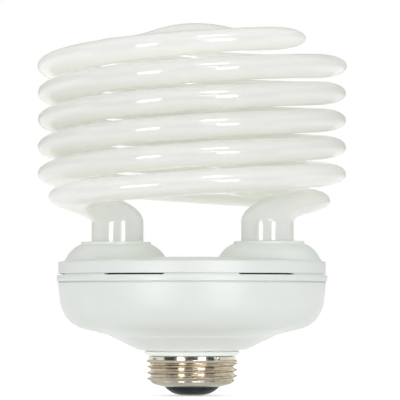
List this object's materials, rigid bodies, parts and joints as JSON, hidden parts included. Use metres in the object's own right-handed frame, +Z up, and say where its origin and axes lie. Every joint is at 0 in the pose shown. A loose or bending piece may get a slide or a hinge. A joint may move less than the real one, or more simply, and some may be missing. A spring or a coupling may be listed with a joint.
{
  "type": "compact fluorescent bulb",
  "caption": "Compact fluorescent bulb: a coated white glass tube wound in a spiral on a round moulded housing, with its ballast inside and a screw cap below.",
  "frame": {"origin": "tip of the end contact, on the lamp's axis", "axes": "+Z up the axis from the cap to the top of the spiral, -Y towards the viewer of the picture"},
  "size_m": [0.0892, 0.0888, 0.1074],
  "materials": {
    "coated_glass": "clear gloss glass over an opaque white coating",
    "white_plastic": "satin moulded plastic",
    "nickel_shell": "nickel-plated, bright",
    "black_insulator": "black, glassy",
    "contact_metal": "plated, satin",
    "potting_cement": "matt",
    "board_laminate": "matt paper laminate",
    "tinned_wire": "tinned",
    "lead_sleeve": "insulated wire",
    "capacitor_sleeve": "shrunk sleeve",
    "ferrite": "matt, dark grey",
    "winding_wire": "enamelled copper wire",
    "moulded_black": "matt",
    "film_coating": "dipped coating",
    "resistor_body": "lacquered"
  },
  "bodies": {
    "root": {"spiral_tube": "coated_glass", "top_cover": "white_plastic", "clip_ring": "white_plastic", "lower_housing": "white_plastic", "screw_shell": "nickel_shell", "cap_insulator": "black_insulator", "centre_contact": "contact_metal", "leg_cement": "potting_cement", "circuit_board": "board_laminate", "wrap_pins": "tinned_wire", "lamp_leads": "tinned_wire", "contact_lead": "lead_sleeve", "shell_lead": "lead_sleeve", "bulk_capacitor": "capacitor_sleeve", "choke_core": "ferrite", "choke_winding": "winding_wire", "drive_ring": "ferrite", "drive_windings": "winding_wire", "transistors": "moulded_black", "start_capacitor": "film_coating", "film_capacitors": "film_coating", "rectifier_diodes": "moulded_black", "fuse_resistor": "resistor_body", "small_resistors": "resistor_body", "filter_core": "ferrite", "filter_winding": "winding_wire"}
  },
  "joints": []
}
